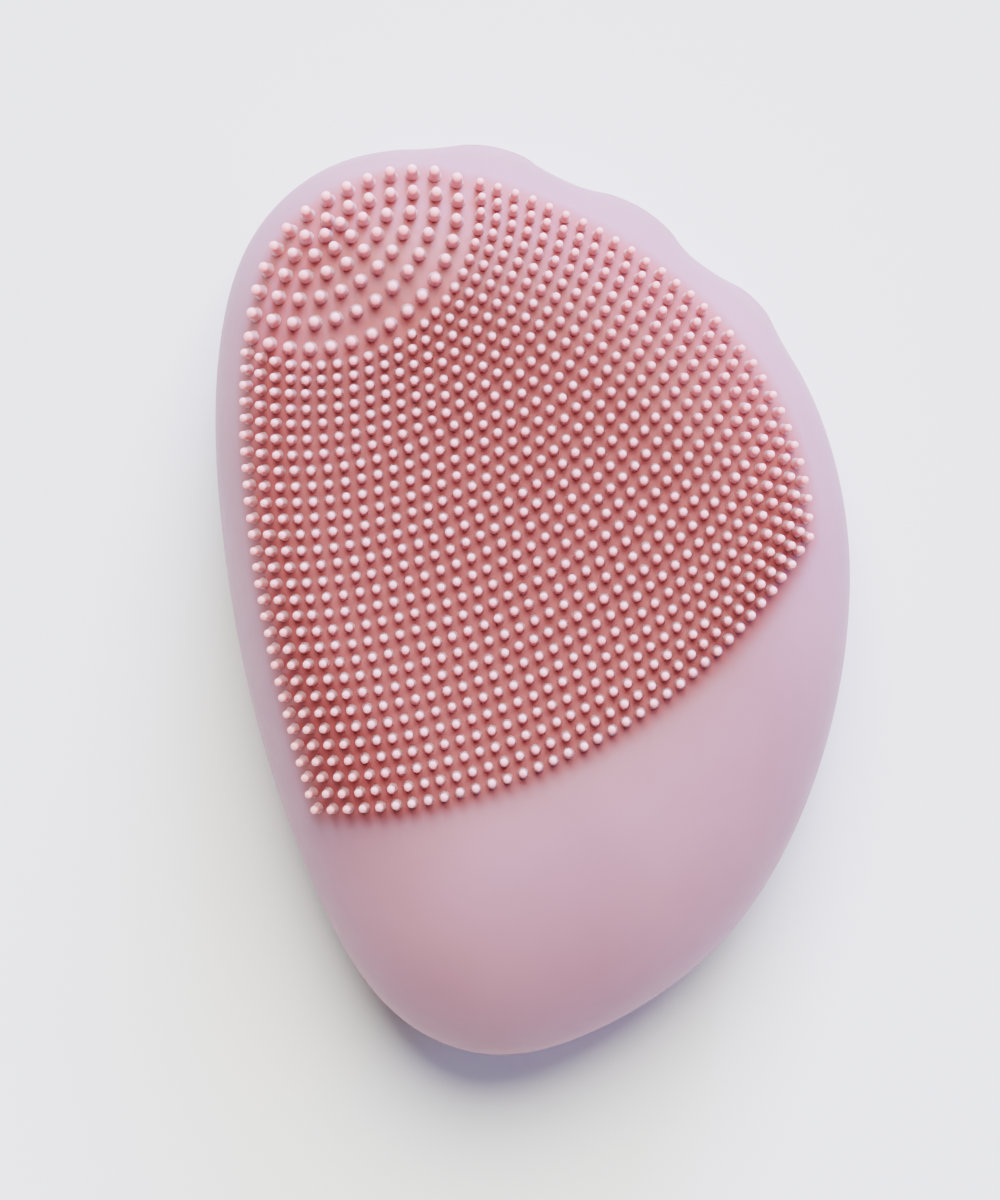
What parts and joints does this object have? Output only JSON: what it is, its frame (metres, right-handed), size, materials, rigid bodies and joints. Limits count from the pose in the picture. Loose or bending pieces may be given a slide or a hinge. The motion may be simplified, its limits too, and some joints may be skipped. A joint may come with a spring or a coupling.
{
  "type": "facial cleansing brush",
  "caption": "Palm-sized silicone facial cleansing brush: leaf-shaped pebble body with a field of soft bristles, a coarser zone at the tip, ridges on the head edge and buttons on the back.",
  "frame": {"origin": "in the plane of the back's flat foot, under the middle of the body's outline, within 0.3 mm of the bounding box's centre", "axes": "+Z out of the bristle face (the brush lies on its back), +Y from the handle tip to the head, +X across the face to the right as seen from the bristle side"},
  "size_m": [0.0698, 0.1002, 0.0311],
  "materials": {
    "skin": "matte",
    "bristle": "matte",
    "back_skin": "matte",
    "housing": "matte",
    "frame": "matte",
    "seal": "matte",
    "steel": "satin",
    "magnet": "matte",
    "bronze": "satin",
    "copper": "satin",
    "tungsten": "satin",
    "motor_plastic": "satin",
    "cell": "satin",
    "foam": "matte",
    "board": "satin",
    "chip": "matte",
    "wire": "satin",
    "panel": "matte",
    "button": "satin",
    "plunger": "matte",
    "switch": "matte",
    "led": "gloss",
    "light_pipe": "gloss",
    "socket": "gloss"
  },
  "bodies": {
    "body": {"front_skin": "skin", "fine_bristles": "bristle", "thick_bristles": "bristle", "rear_skin": "back_skin", "front_housing": "housing", "rear_housing": "housing", "housing_gasket": "seal", "housing_screws": "steel", "inner_frame": "frame", "frame_screws": "steel", "motor_clamp": "steel", "clamp_screws": "steel", "motor_boot": "seal", "motor_can": "steel", "motor_end_cap": "motor_plastic", "motor_bearings": "bronze", "motor_magnets": "magnet", "motor_brushes": "bronze", "battery_cell": "cell", "battery_pad": "foam", "battery_board": "board", "circuit_board": "board", "circuit_chips": "chip", "indicator_led": "led", "light_pipe": "light_pipe", "battery_leads": "wire", "motor_leads": "wire", "socket_leads": "wire", "switch_bases": "switch", "control_panel": "panel", "panel_seal": "seal", "charge_socket": "socket", "socket_seal": "seal", "socket_contacts": "steel"},
    "power_press": {"power_button": "button", "power_plunger": "plunger"},
    "plus_press": {"plus_button": "button", "plus_plunger": "plunger"},
    "minus_press": {"minus_button": "button", "minus_plunger": "plunger"},
    "rotor": {"motor_shaft": "steel", "motor_armature": "steel", "motor_windings": "copper", "motor_commutator": "bronze", "eccentric_weight": "tungsten"}
  },
  "joints": [
    {"name": "power_button_slide", "type": "slide", "parent": "body", "child": "power_press", "axis": [0, 0, 1], "range_m": [0, 0.0005], "stiffness_N_per_m": 800},
    {"name": "plus_button_slide", "type": "slide", "parent": "body", "child": "plus_press", "axis": [0, 0, 1], "range_m": [0, 0.0005], "stiffness_N_per_m": 800},
    {"name": "minus_button_slide", "type": "slide", "parent": "body", "child": "minus_press", "axis": [0, 0, 1], "range_m": [0, 0.0005], "stiffness_N_per_m": 800},
    {"name": "motor_spin", "type": "hinge", "parent": "body", "child": "rotor", "pos_m": [-0.005, 0.02, 0.0145], "axis": [0, 1, 0], "continuous": true}
  ]
}
